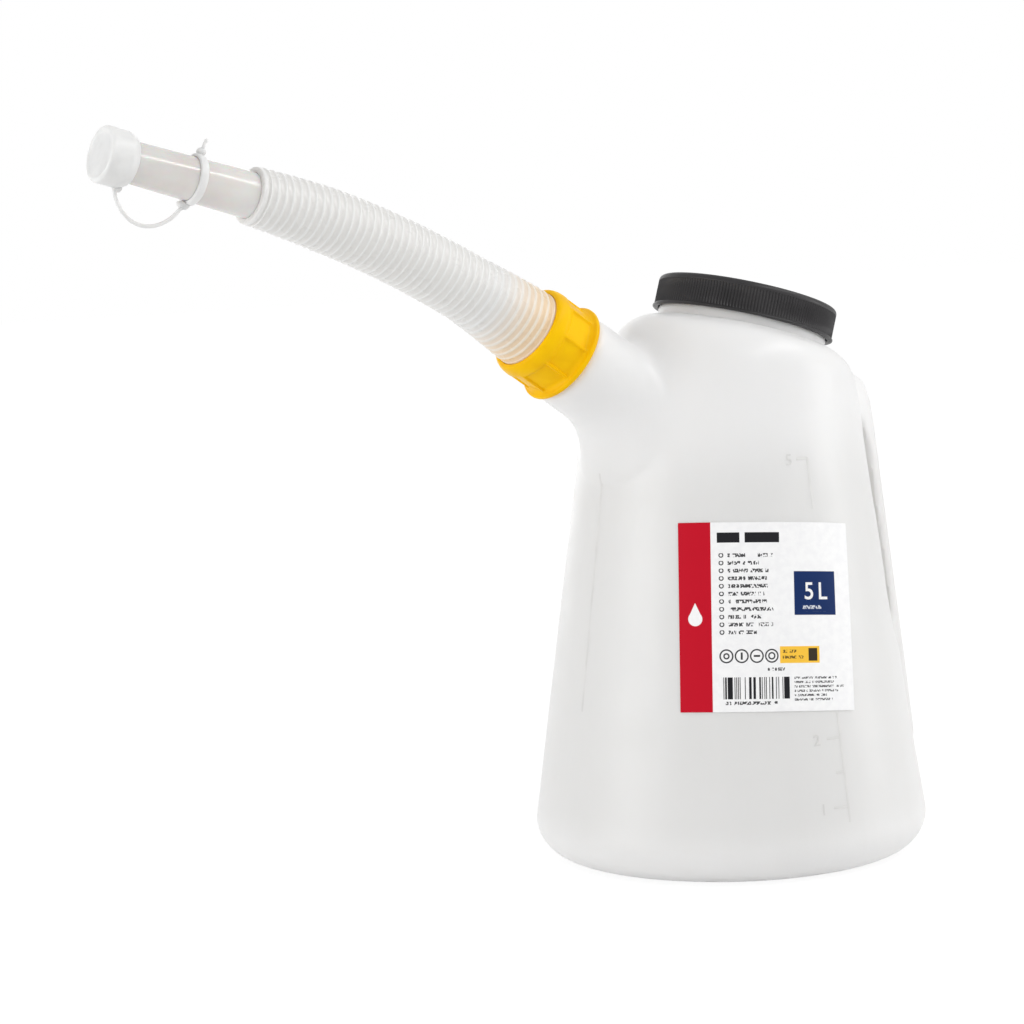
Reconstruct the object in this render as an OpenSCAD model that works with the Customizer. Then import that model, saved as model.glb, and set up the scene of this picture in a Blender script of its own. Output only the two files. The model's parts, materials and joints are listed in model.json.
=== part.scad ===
// Five litre oil jug: a blown body with a moulded grip, a ribbed screw lid, and a bending spout
// with a slim nozzle and a tethered cap. The foot is centred on the origin, Z points up,
// the spout points to -X and the grip to +X. All sizes are in millimetres.

/* [Body] */
// Widest diameter of the body, just above the foot
foot_d = 203; // [185:1:225]
// Radius of the rounded edge round the foot
foot_round = 18; // [12:1:24]
// Lean of the conical side, in degrees
side_lean = 8.5; // [6:0.5:10]
// Height at which the cone ends and the shoulder starts
shoulder_z = 214; // [200:1:222]
// Radius of the rounded shoulder
shoulder_round = 22; // [16:1:26]
// Wall of the blown body
wall = 2; // [1.2:0.1:3]
// Depth of the ring pressed into the base
base_ring_depth = 2; // [1:0.5:4]
// Inner diameter of the ring pressed into the base
base_ring_in = 70; // [50:1:90]
// Outer diameter of the ring pressed into the base
base_ring_out = 130; // [110:1:150]

/* [Grip] */
// How far the back of the grip stands from the axis at its foot
grip_reach = 104.5; // [98:0.5:106]
// Lean of the back of the grip, in degrees
grip_lean = 3.2; // [2:0.2:5]
// Height of the top of the grip
grip_top = 247; // [235:1:252]
// Half of the grip's width at its top
grip_half_w = 20; // [17:1:24]
// Rounding of the grip at its top
grip_round = 8; // [6:1:10]
// Thickness of the bar that the hand closes round
grip_bar = 13; // [11:0.5:17]
// Width of the finger hole
finger_w = 24; // [20:1:28]
// Height of the lower end of the finger hole
finger_bottom = 108; // [95:1:125]
// Height of the upper end of the finger hole
finger_top = 220; // [205:1:226]

/* [Lid and its neck] */
// Diameter of the neck under the lid
neck_d = 87.8; // [82:0.2:92]
// Tilt of the neck towards the grip, in degrees
neck_tilt = 17; // [10:1:20]
// How far the middle of the lid's rim stands towards the grip
neck_x = 17.1; // [10:0.1:22]
// Height of the middle of the lid's rim
neck_z = 272; // [268:1:284]
// Gap left under the rim of the lid
lid_gap = 4; // [2:0.5:6]
// Height of the lid
lid_h = 16.5; // [14:0.5:20]
// Wall of the lid, measured at the bottom of its ribs
lid_wall = 1.8; // [1.4:0.1:2.4]
// Play between the neck and the lid
lid_play = 0.6; // [0.4:0.1:1]
// How far the bead on the lid's rim stands out from the ribs
lid_bead = 0.7; // [0.4:0.1:1]
// Height of the bead on the lid's rim
lid_bead_h = 1.4; // [1:0.1:2]
// Height of the smooth band above the ribs
lid_band = 4; // [3.5:0.5:6]
// Rounding of the lid's top edge
lid_round = 2.4; // [1.5:0.1:3]
// Number of grip ribs round the lid
lid_ribs = 180; // [90:6:200]
// Depth of the grip ribs
lid_rib_depth = 0.5; // [0.3:0.1:0.8]
// Thickness of the liner in the lid
liner_t = 1.5; // [1:0.1:2.5]

/* [Spout neck] */
// How far the collar's flange stands from the axis
spout_x = 95.8; // [90:0.2:100]
// Height of the middle of the collar's flange
spout_z = 263.3; // [255:0.1:268]
// Rise of the spout neck above level, in degrees
spout_rise = 34; // [28:1:38]
// Diameter of the neck below the collar
spout_d = 49; // [46:0.5:52]
// Bore of the spout neck
spout_bore = 38; // [34:0.5:39]
// Wall of the spout neck inside the collar
spout_wall = 2.5; // [2:0.1:3]
// Length of the spout neck inside the collar
spout_len = 18; // [15:0.5:20]

/* [Collar nut] */
// Diameter of the flange at the jug's side
collar_flange_d = 52; // [50:0.5:56]
// Thickness of that flange
collar_flange_t = 2.6; // [2:0.2:3.6]
// Diameter of the nut over its ribs
collar_d = 48.4; // [48:0.2:50]
// Number of flat panels round the nut
collar_panels = 9; // [8:1:12]
// Angle of the first rib round the nut, counted from its top
collar_rib_at = 32; // [0:1:45]
// Depth of the panels below the ribs
collar_panel_depth = 1.3; // [1:0.1:1.4]
// Width of the ribs between the panels
collar_rib_w = 2.2; // [1.6:0.2:3]
// Bevel round the front of the nut
collar_bevel = 1; // [0.6:0.1:1.2]
// Thickness of the lip that holds the hose
collar_lip = 2.8; // [2:0.2:4]
// Play between the nut and what it turns round
collar_play = 0.4; // [0.3:0.1:0.6]

/* [Hose] */
// Diameter of the hose where it leaves the nut
hose_root_d = 40.4; // [36:0.2:41]
// Diameter of the hose where its flare ends
hose_flare_d = 34.4; // [32:0.2:36]
// Diameter of the hose where its tip taper starts
hose_mid_d = 31.6; // [30:0.2:33]
// Diameter of the hose at its far end
hose_tip_d = 27.6; // [27:0.2:30]
// Length of the bending part of the hose
hose_len = 168; // [120:1:200]
// How far the hose turns down over its length, in degrees
hose_droop = 18.2; // [0:0.2:30]
// Length of one corrugation
hose_pitch = 4; // [3.5:0.1:6]
// Depth of the grooves between the corrugations
hose_groove = 0.9; // [0.6:0.1:1.1]
// Wall of the hose under its grooves
hose_wall = 1.1; // [0.9:0.1:1.6]
// Thickness of the flange that the nut clamps
hose_flange_t = 3; // [2:0.2:4]
// Length of the plain cuff at the far end
hose_cuff = 5; // [4:0.5:8]
// Thickness of the seal between the neck and the hose
seal_t = 1.5; // [1:0.1:2.5]

/* [Nozzle and cap] */
// Diameter of the nozzle where it enters the hose
nozzle_root_d = 22.6; // [20:0.2:24]
// Diameter of the nozzle at its mouth
nozzle_tip_d = 19; // [16:0.2:19.6]
// Length of the nozzle outside the hose
nozzle_len = 76; // [60:1:100]
// Length of the nozzle held inside the hose
nozzle_held = 12; // [8:1:16]
// Wall of the nozzle
nozzle_wall = 1.3; // [1:0.1:2]
// Diameter of the tip cap
cap_d = 26.8; // [25:0.2:30]
// Length of the tip cap
cap_len = 15.5; // [12:0.5:20]
// Thickness of the front wall of the tip cap
cap_front = 2.2; // [1.6:0.1:3]
// Play between the cap and the nozzle
cap_play = 0.25; // [0.2:0.05:0.4]
// Diameter of the round strap that ties the cap on
strap_d = 1.9; // [1.4:0.1:2.6]
// Width of the ring round the nozzle
ring_w = 4; // [3:0.5:6]
// Thickness of the ring round the nozzle
ring_t = 1.6; // [1.2:0.1:2.4]
// Distance of the ring from the end of the hose
ring_at = 27; // [18:1:32]

/* [Label] */
// Height of the label's lower edge
label_bottom = 84; // [70:1:95]
// Height of the label's upper edge
label_top = 178; // [165:1:190]
// Direction of the label's left edge, in degrees
label_from = 217.5; // [210:0.5:225]
// Width of the label
label_w = 92; // [80:1:96]
// Thickness of the label
label_t = 0.3; // [0.2:0.05:0.5]

/* [Hidden] */
round_steps = 72;
soft_steps = 18;
loft_steps = 48;
hose_steps = 24;
seat = 0.3;
skin_gap = 0.1;
sliver = 0.05;

// The inner skin of the body has fewer facets than the outer one
function body_steps(inset) = inset > 0 ? 40 : 72;

// Body: the corner arc round the foot ends where the leaning side starts
foot_r = foot_d / 2;
side_foot_r = foot_r - foot_round + foot_round * cos(side_lean);
side_foot_z = foot_round * (1 + sin(side_lean));
function side_r(z) = side_foot_r - tan(side_lean) * (z - side_foot_z);
function arc(x, y, r, from, to, n) =
    [for (i = [0 : n]) let(a = from + (to - from) * i / n) [x + r * cos(a), y + r * sin(a)]];
shoulder_ring = neck_d / 2 - 1;
shoulder_drop = lid_gap + shoulder_round;
rim_z = lid_h - lid_wall - liner_t;
lid_bore_r = neck_d / 2 + lid_play;
lid_root_r = lid_bore_r + lid_wall;
lid_crest_r = lid_root_r + lid_rib_depth;
lid_rib_inset = 0.15;

// Grip: a bar parallel to the leaning back of the body
function grip_x(z) = grip_reach - tan(grip_lean) * z;
grip_foot_z = 40;
grip_foot_round = 22;
grip_foot_half_w = 44;
grip_top_round = 13;
finger_z = (finger_bottom + finger_top) / 2;
finger_x = grip_x(finger_z) - grip_bar - finger_w / 2;

// Spout neck and what it carries, in the collar's own frame
spout_out = spout_bore + 2 * spout_wall;
flange_z = spout_len + seal_t;
collar_h = flange_z + hose_flange_t + seat + collar_lip;
hose_flange_d = spout_out;
collar_bore = spout_out + 2 * collar_play;
collar_hole = hose_root_d + 2 * collar_play;

// Hose: a flat arc in the XZ plane, from the front of the collar to the nozzle
hose_bend_r = hose_len / (hose_droop * PI / 180);
corrugations = floor((hose_len - hose_cuff) / hose_pitch);
cuff_start = corrugations * hose_pitch;
function hose_r(s) = lookup(s, [[0, hose_root_d / 2], [0.22 * hose_len, hose_flare_d / 2],
    [0.74 * hose_len, hose_mid_d / 2], [hose_len, hose_tip_d / 2]]);
function hose_in_r(s) = hose_r(s) - hose_groove - hose_wall;

// Nozzle, cap and strap: s runs out from the end of the hose, x is up from the middle line
nozzle_full = nozzle_len + nozzle_held;
function nozzle_r(s) =
    (nozzle_root_d + (nozzle_tip_d - nozzle_root_d) * (s + nozzle_held) / nozzle_full) / 2;
cap_at = nozzle_len + seat + cap_front - cap_len;
cap_bore_r = nozzle_r(cap_at) + cap_play;
cap_edge = 1.6;
cap_dish = 0.9;
ring_out_r = nozzle_r(ring_at) + cap_play + ring_t;
lug_r = 2.4;
strap_top = cap_d / 2 + seat;
strap_from = ring_at + ring_w / 2;
strap_to = cap_at + 0.35 * cap_len;
strap_half = (strap_to - strap_from) / 2;
strap_sag = 13.5;
strap_r = (strap_half * strap_half + strap_sag * strap_sag) / (2 * strap_sag);
strap_angle = asin(strap_half / strap_r);
tail_len = 7;
tail_lean = 12;

// Puts children in the frame of the lid: origin in the middle of its rim, Z out of the neck
module at_neck() {
    translate([neck_x, 0, neck_z]) rotate([0, neck_tilt, 0]) children();
}

// Puts children in the frame of the collar: origin in the flange, Z out along the spout
module at_spout() {
    translate([-spout_x, 0, spout_z]) rotate([0, spout_rise - 90, 0]) children();
}

// Puts children on the hose's middle line, s along it from the front of the collar
module on_hose(s) {
    turned = hose_droop * s / hose_len;
    at_spout()
        translate([-hose_bend_r, 0, collar_h])
            rotate([0, -turned, 0])
                translate([hose_bend_r, 0, 0])
                    children();
}

// Puts children on the straight nozzle, s along it from the end of the hose
module on_nozzle(s) {
    on_hose(hose_len) translate([0, 0, s]) children();
}

module tube(r_out, r_in, h) {
    difference() {
        cylinder(r = r_out, h = h, $fn = round_steps);
        translate([0, 0, -1]) cylinder(r = r_in, h = h + 2, $fn = round_steps);
    }
}

// The cone with its round foot, drawn inwards by an inset
module cone(inset) {
    bottom = inset > 0 ? inset + base_ring_depth : 0;
    rotate_extrude($fn = body_steps(inset))
        polygon(concat(
            [[0, bottom]],
            [for (p = arc(foot_r - foot_round, foot_round, foot_round - inset, -90, side_lean, 8))
                [p[0], max(p[1], bottom)]],
            [[side_r(shoulder_z) - inset / cos(side_lean), shoulder_z], [0, shoulder_z]]));
}

// The shoulder's ring under the tilted neck, which the hull joins to the cone
module turned_body(inset) {
    hull() {
        cone(inset);
        at_neck()
            translate([0, 0, -shoulder_drop])
                rotate_extrude($fn = body_steps(inset))
                    translate([shoulder_ring, 0]) circle(r = shoulder_round - inset, $fn = soft_steps);
    }
}

// The shallow ring in the base, so that the jug stands on a disc and a rim
module base_ring() {
    rotate_extrude($fn = round_steps)
        polygon([[base_ring_in / 2 - base_ring_depth, -base_ring_depth],
                 [base_ring_in / 2 + base_ring_depth, base_ring_depth],
                 [base_ring_out / 2 - base_ring_depth, base_ring_depth],
                 [base_ring_out / 2 + base_ring_depth, -base_ring_depth]]);
}

// The back of the body, which the finger hole turns into a grip
module grip_back(inset) {
    top = grip_top - grip_round;
    back = grip_x(grip_top) - grip_round;
    corners = [[back, top - grip_top_round], [back - 0.3 * grip_top_round, top - 0.3 * grip_top_round],
               [back - grip_top_round, top], [back - 2.5 * grip_top_round, top]];
    hull() {
        for (side = [-1, 1]) {
            translate([grip_x(grip_foot_z) - grip_foot_round,
                       side * (grip_foot_half_w - grip_foot_round), grip_foot_z + inset])
                cylinder(r = grip_foot_round - inset, h = sliver, $fn = soft_steps);
            for (corner = corners)
                translate([corner[0], side * (grip_half_w - grip_round), corner[1]])
                    sphere(r = grip_round - inset, $fn = 16);
        }
    }
}

module finger_hole(inset) {
    half_h = (finger_top - finger_bottom - finger_w) / 2;
    translate([finger_x, 0, finger_z])
        rotate([90, -grip_lean, 0])
            hull()
                for (side = [-1, 1])
                    translate([0, side * half_h, 0])
                        cylinder(d = finger_w + 2 * inset, h = 4 * grip_foot_half_w, center = true,
                            $fn = round_steps / 2);
}

// Horn: the spout neck widens and turns down into the body, ring by ring
horn_rings = 10;
horn_bend_r = 30;
horn_straight = 23;
horn_turn = 90 + side_lean - spout_rise;
horn_spread = 20;
horn_reach = 74;
spout_up = [sin(spout_rise), cos(spout_rise)];
spout_in = [cos(spout_rise), -sin(spout_rise)];
spout_face = [-spout_x, spout_z];
// Way from the collar's plane into the body, the end wall included
function horn_along(t, inset, far) = (seat + inset) * (1 - t) + far * t;
// Lower edge of the horn in the XZ plane, t from 0 under the collar to 1 on the cone
function horn_low(t, inset) =
    let(heel = spout_face - spout_d / 2 * spout_up + horn_straight * spout_in
            - horn_bend_r * spout_up,
        turn = spout_rise + horn_turn * max(0, t - 0.2) / 0.8)
    t < 0.2
        ? spout_face - (spout_d / 2 - inset) * spout_up + horn_along(t / 0.2, inset, horn_straight)
            * spout_in
        : heel + (horn_bend_r + inset) * [sin(turn), cos(turn)];
// Upper edge of the horn, straight along the neck and on deep into the body
function horn_high(t, inset) =
    spout_face + (spout_d / 2 - inset) * spout_up + horn_along(t, inset, horn_reach) * spout_in;
function horn_half_w(t, inset) = spout_d / 2 - inset + horn_spread * pow(t, 1.6);
function horn_point(t, a, inset) =
    let(low = horn_low(t, inset), high = horn_high(t, inset),
        middle = (low + high) / 2, reach = (high - low) / 2)
    [middle[0] + reach[0] * cos(a), horn_half_w(t, inset) * sin(a), middle[1] + reach[1] * cos(a)];

// A skin over rings of points, with flat ends, or run round into a loop as a tube's two walls are
module skin(points, around, loop) {
    rings = len(points) / around;
    sides = [for (i = [0 : loop ? rings - 1 : rings - 2], j = [0 : around - 1])
        let(k = (j + 1) % around, a = i * around, b = ((i + 1) % rings) * around)
        [a + j, a + k, b + k, b + j]];
    near_end = [for (j = [around - 1 : -1 : 0]) j];
    far_end = [for (j = [0 : around - 1]) (rings - 1) * around + j];
    polyhedron(points, loop ? sides : concat(sides, [near_end, far_end]), convexity = 4);
}

module horn(inset) {
    skin([for (i = [0 : horn_rings], j = [0 : loft_steps - 1])
        horn_point(i / horn_rings, 360 * j / loft_steps, inset)], loft_steps, false);
}

module body_form(inset) {
    difference() {
        union() {
            turned_body(inset);
            grip_back(inset);
            horn(inset);
        }
        finger_hole(inset);
    }
}

// A round neck with a bevel round its mouth
module neck(d, from, to) {
    bevel = wall / 4;
    hull() {
        translate([0, 0, from]) cylinder(d = d, h = to - from - bevel, $fn = round_steps);
        translate([0, 0, from]) cylinder(d = d - 2 * bevel, h = to - from, $fn = round_steps);
    }
}

module jug_body() {
    color("whitesmoke")
        difference() {
            union() {
                body_form(0);
                at_neck() neck(neck_d, -lid_gap - shoulder_round / 2, rim_z);
                at_spout() neck(spout_out, -wall, spout_len);
            }
            body_form(wall);
            at_neck()
                translate([0, 0, -2 * shoulder_round])
                    cylinder(d = neck_d - 2 * wall, h = 2 * shoulder_round + lid_h, $fn = round_steps);
            at_spout()
                translate([0, 0, -spout_d])
                    cylinder(d = spout_bore, h = spout_d + collar_h, $fn = round_steps);
            base_ring();
        }
}

module label() {
    low_r = side_r(label_bottom) + skin_gap;
    high_r = side_r(label_top) + skin_gap;
    sweep = label_w / (PI * (low_r + high_r)) * 360;
    color("white")
        rotate([0, 0, label_from])
            rotate_extrude(angle = sweep, $fn = round_steps)
                polygon([[low_r, label_bottom], [low_r + label_t, label_bottom],
                         [high_r + label_t, label_top], [high_r, label_top]]);
}

// The ribs are one toothed outline, drawn up between the rim bead and the smooth band
module lid() {
    ribs = [for (i = [0 : lid_ribs - 1], side = [0, 1])
        let(a = 360 * (i + side / 2) / lid_ribs, r = lid_root_r + side * (lid_rib_depth - lid_rib_inset))
        [r * cos(a), r * sin(a)]];
    rib_top = lid_h - lid_band;
    color("#3b3a3c")
        at_neck()
            difference() {
                union() {
                    rotate_extrude($fn = round_steps)
                        polygon(concat(
                            [[0, 0], [lid_crest_r + lid_bead - 0.4, 0], [lid_crest_r + lid_bead, 0.4],
                             [lid_crest_r + lid_bead, lid_bead_h - 0.4],
                             [lid_crest_r, lid_bead_h], [lid_root_r - lid_rib_inset, lid_bead_h],
                             [lid_root_r - lid_rib_inset, rib_top], [lid_crest_r, rib_top]],
                            arc(lid_crest_r - lid_round, lid_h - lid_round, lid_round, 0, 90, 6),
                            [[0, lid_h]]));
                    translate([0, 0, lid_bead_h - lid_rib_inset])
                        linear_extrude(height = rib_top - lid_bead_h + 2 * lid_rib_inset) polygon(ribs);
                }
                translate([0, 0, -1])
                    cylinder(r = lid_bore_r, h = rim_z + liner_t + 1, $fn = round_steps);
            }
}

module lid_liner() {
    color("gainsboro")
        at_neck() translate([0, 0, rim_z]) cylinder(d = neck_d, h = liner_t, $fn = round_steps);
}

module collar_nut() {
    panel_foot = collar_flange_t + 0.6;
    panel_top = collar_h - 2.2;
    panel_w = PI * collar_d / collar_panels - collar_rib_w;
    color("#f7bf0a")
        at_spout()
            difference() {
                rotate_extrude($fn = round_steps)
                    polygon([[0, 0], [collar_flange_d / 2 - 0.6, 0], [collar_flange_d / 2, 0.6],
                             [collar_flange_d / 2, collar_flange_t - 0.6],
                             [collar_flange_d / 2 - 0.6, collar_flange_t],
                             [collar_d / 2, collar_flange_t + 0.2],
                             [collar_d / 2, collar_h - collar_bevel],
                             [collar_d / 2 - collar_bevel, collar_h], [0, collar_h]]);
                translate([0, 0, -1])
                    cylinder(d = collar_bore, h = collar_h - collar_lip + 1, $fn = round_steps);
                cylinder(d = collar_hole, h = collar_h + 1, $fn = round_steps);
                for (i = [0 : collar_panels - 1])
                    rotate([0, 0, collar_rib_at + 360 * (i + 0.5) / collar_panels])
                        translate([collar_d / 2 - collar_panel_depth, -panel_w / 2, panel_foot])
                            cube([collar_panel_depth + 1, panel_w, panel_top - panel_foot]);
            }
}

module spout_seal() {
    color("dimgray")
        at_spout()
            translate([0, 0, spout_len])
                tube(spout_out / 2 - skin_gap, spout_bore / 2, seal_t);
}

// Hose: rows of distance and radius, out along the corrugations and back along the bore
hose_start = flange_z - collar_h;
stub_r = collar_hole / 2 - 2 * collar_play;
cuff_bore_r = nozzle_root_d / 2 + cap_play;
bore_rows = 8;
hose_rows = concat(
    [[hose_start, hose_flange_d / 2], [hose_start + hose_flange_t, hose_flange_d / 2],
     [hose_start + hose_flange_t + sliver, stub_r], [0, stub_r]],
    [for (i = [0 : corrugations - 1], part = [0.15, 0.45, 0.8])
        let(s = (i + part) * hose_pitch)
        [s, hose_r(s) - (part < 0.3 ? hose_groove : 0)]],
    [[cuff_start, hose_r(cuff_start) - hose_groove], [cuff_start + 1, hose_tip_d / 2],
     [hose_len - 0.5, hose_tip_d / 2], [hose_len, hose_tip_d / 2 - 0.5], [hose_len, cuff_bore_r],
     [cuff_start, cuff_bore_r]],
    [for (i = [bore_rows : -1 : 0])
        let(s = (cuff_start - 1) * i / bore_rows) [s, hose_in_r(s)]],
    [[hose_start, hose_in_r(0)]]);
function hose_point(row, a) =
    let(turned = hose_droop * max(row[0], 0) / hose_len, out = hose_bend_r + row[1] * cos(a))
    [out * cos(turned) - hose_bend_r, -row[1] * sin(a), collar_h + out * sin(turned) + min(row[0], 0)];

module hose() {
    color("ivory")
        at_spout()
            skin([for (row = hose_rows, j = [0 : hose_steps - 1]) hose_point(row, 360 * j / hose_steps)],
                hose_steps, true);
}

module nozzle() {
    color("lightgray")
        on_nozzle(-nozzle_held)
            difference() {
                cylinder(d1 = nozzle_root_d, d2 = nozzle_tip_d, h = nozzle_full, $fn = round_steps);
                translate([0, 0, -sliver])
                    cylinder(d1 = nozzle_root_d - 2 * nozzle_wall, d2 = nozzle_tip_d - 2 * nozzle_wall,
                        h = nozzle_full + 2 * sliver, $fn = round_steps);
            }
}

// The cap's face is dished inside a rounded ridge, and its back edge is beveled to the nozzle
module tip_cap() {
    out_r = cap_d / 2;
    color("white")
        on_nozzle(cap_at)
            rotate_extrude($fn = round_steps)
                polygon(concat(
                    [[0, cap_len - cap_front], [cap_bore_r, cap_len - cap_front], [cap_bore_r, 0],
                     [out_r - cap_edge, 0], [out_r, 2 * cap_edge]],
                    arc(out_r - cap_edge, cap_len - cap_edge, cap_edge, 0, 100, 5),
                    [[out_r - 2 * cap_edge, cap_len - cap_dish], [0, cap_len - cap_dish / 2]]));
}

// Ring round the nozzle, its lug, the round strap under it, and a short tail on top
module cap_tether() {
    color("white") {
        on_nozzle(ring_at) {
            tube(ring_out_r, ring_out_r - ring_t, ring_w);
            translate([-ring_out_r - lug_r / 2, 0, ring_w / 2])
                rotate([90, 0, 0]) cylinder(r = lug_r, h = ring_w, center = true, $fn = 32);
            translate([ring_out_r - ring_t / 2, 0, ring_w / 2])
                rotate([0, 90 + tail_lean, 0]) cylinder(d = strap_d, h = tail_len, $fn = 24);
        }
        on_nozzle(strap_from + strap_half)
            translate([-strap_top - strap_sag + strap_r, 0, 0])
                rotate([90, 0, 0])
                    rotate([0, 0, 180 - strap_angle])
                        rotate_extrude(angle = 2 * strap_angle, $fn = round_steps)
                            translate([strap_r, 0]) circle(d = strap_d, $fn = 24);
    }
}

jug_body();
label();
lid();
lid_liner();
collar_nut();
spout_seal();
hose();
nozzle();
tip_cap();
cap_tether();
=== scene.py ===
# %% [markdown]
# # An oil jug with a flexible spout
# The jug is blow-moulded from milky polyethylene. It has a black screw lid with fine ribs, a yellow
# collar nut, a corrugated hose, a clear nozzle and a small cap on a strap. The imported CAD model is
# the frame: it gives every size and every moving body, and the pieces below are modelled around it.

# %% Load the frame
import json
import math

import bpy
import numpy as np
from mathutils import Matrix, Vector
from mathutils.bvhtree import BVHTree

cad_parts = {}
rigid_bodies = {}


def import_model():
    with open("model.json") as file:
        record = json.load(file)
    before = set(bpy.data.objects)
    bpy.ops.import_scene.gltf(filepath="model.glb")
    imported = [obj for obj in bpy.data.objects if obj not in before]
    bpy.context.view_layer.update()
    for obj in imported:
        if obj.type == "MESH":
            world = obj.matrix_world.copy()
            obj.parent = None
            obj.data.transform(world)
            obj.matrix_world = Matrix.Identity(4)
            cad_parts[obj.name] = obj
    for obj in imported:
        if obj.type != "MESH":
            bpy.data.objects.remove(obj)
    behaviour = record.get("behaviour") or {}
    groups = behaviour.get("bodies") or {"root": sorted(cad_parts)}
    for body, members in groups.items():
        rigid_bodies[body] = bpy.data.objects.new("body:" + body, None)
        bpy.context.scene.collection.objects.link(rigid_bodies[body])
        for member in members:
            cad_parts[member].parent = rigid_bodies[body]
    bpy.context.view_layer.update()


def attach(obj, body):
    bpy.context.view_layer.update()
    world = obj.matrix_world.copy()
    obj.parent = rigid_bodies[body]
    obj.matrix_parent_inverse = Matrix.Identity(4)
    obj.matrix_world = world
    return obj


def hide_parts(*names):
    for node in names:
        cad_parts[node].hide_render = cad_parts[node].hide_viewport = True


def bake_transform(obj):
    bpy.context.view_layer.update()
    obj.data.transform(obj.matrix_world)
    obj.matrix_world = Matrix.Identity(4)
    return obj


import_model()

# %% [markdown]
# The jug's own measures come first, in millimetres, because that is how such a jug is drawn. Three
# frames of reference matter: the upright cone, the lid's neck that leans towards the grip, and the
# spout neck that points up and away from it.

# %% Sizes of the jug
MM = 0.001
FOOT_R, FOOT_ROUND, LEAN, SHOULDER_Z = 101.5, 18.0, math.radians(8.5), 214.0
SIDE_FOOT_R = FOOT_R - FOOT_ROUND + FOOT_ROUND * math.cos(LEAN)
SIDE_FOOT_Z = FOOT_ROUND * (1 + math.sin(LEAN))
WALL = 2.0
NECK_R, LID_RISE = 43.9, 13.2
SPOUT_RISE = math.radians(34)


def side_r(z):
    return SIDE_FOOT_R - math.tan(LEAN) * (z - SIDE_FOOT_Z)


def neck_frame():
    return Matrix.Translation(Vector((17.1, 0, 272)) * MM) @ Matrix.Rotation(math.radians(17), 4, "Y")


def spout_frame():
    turn = Matrix.Rotation(SPOUT_RISE - math.pi / 2, 4, "Y")
    return Matrix.Translation(Vector((-95.8, 0, 263.3)) * MM) @ turn


HOSE_LEN, HOSE_DROOP, COLLAR_H = 168.0, math.radians(18.2), 25.6
HOSE_BEND_R = HOSE_LEN / HOSE_DROOP


def hose_frame(s):
    """The frame of a ring on the hose, s millimetres out from the front of the collar."""
    back = Matrix.Translation(Vector((HOSE_BEND_R, 0, 0)) * MM)
    turn = Matrix.Rotation(-HOSE_DROOP * s / HOSE_LEN, 4, "Y")
    return spout_frame() @ Matrix.Translation(Vector((-HOSE_BEND_R, 0, COLLAR_H)) * MM) @ turn @ back


def nozzle_frame(s):
    return hose_frame(HOSE_LEN) @ Matrix.Translation(Vector((0, 0, s)) * MM)


print("nozzle starts at", [round(v, 4) for v in hose_frame(HOSE_LEN).translation])

# %% [markdown]
# Almost every piece here is either turned, as on a lathe, or swept along a path. Two helpers do
# this with Blender's own edit-mode operators: one spins a profile round Z, the other extrudes a
# straight tube ring by ring and then moves each ring to its place.

# %% Helpers for modelling
def only(*pieces):
    for other in bpy.context.view_layer.objects:
        other.select_set(False)
    for piece in pieces:
        piece.select_set(True)
    bpy.context.view_layer.objects.active = pieces[-1]


def deselect():
    bpy.ops.object.select_all(action="DESELECT")


def edit_all():
    """Opens the active piece in edit mode with all of it selected."""
    bpy.ops.object.mode_set(mode="EDIT")
    bpy.ops.mesh.select_all(action="SELECT")


def modify(piece, kind, **settings):
    """Adds a modifier, sets it and applies it at once."""
    only(piece)
    step = piece.modifiers.new(kind.lower(), kind)
    for name, value in settings.items():
        setattr(step, name, value)
    bpy.ops.object.modifier_apply(modifier=step.name)
    return piece


def put(piece, place):
    """Moves a piece to its place and writes that place into its mesh."""
    only(piece)
    piece.matrix_world = place
    bpy.ops.object.transform_apply(location=True, rotation=True, scale=True)
    return piece


def join(name, *pieces):
    only(*pieces)
    bpy.ops.object.join()
    bpy.context.object.name = name
    return bpy.context.object


def points_of(piece):
    flat = np.empty(len(piece.data.vertices) * 3)
    piece.data.vertices.foreach_get("co", flat)
    return flat.reshape(-1, 3) / MM


def set_points(piece, points):
    piece.data.vertices.foreach_set("co", (points * MM).ravel())
    piece.data.update()


def tidy_mesh(gap=0.002):
    bpy.ops.mesh.select_all(action="SELECT")
    bpy.ops.mesh.remove_doubles(threshold=gap * MM)
    bpy.ops.mesh.normals_make_consistent(inside=False)
    bpy.ops.object.mode_set(mode="OBJECT")


def hull():
    """Wraps the active piece in the smallest form without hollows."""
    edit_all()
    bpy.ops.mesh.convex_hull()
    tidy_mesh()


def turned(name, profile, steps=96):
    """Spins a profile of (radius, height) points round Z."""
    deselect()
    bpy.ops.mesh.primitive_plane_add(size=MM)
    piece = bpy.context.object
    piece.name = name
    edit_all()
    bpy.ops.mesh.merge(type="CENTER")
    bpy.ops.transform.translate(value=(profile[0][0] * MM, 0, profile[0][1] * MM))
    for (r0, z0), (r1, z1) in zip(profile, profile[1:]):
        move = ((r1 - r0) * MM, 0, (z1 - z0) * MM)
        bpy.ops.mesh.extrude_region_move(TRANSFORM_OT_translate={"value": move})
    bpy.ops.mesh.select_all(action="SELECT")
    bpy.ops.mesh.spin(steps=steps, angle=2 * math.pi, center=(0, 0, 0), axis=(0, 0, 1))
    tidy_mesh()
    return piece


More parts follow.
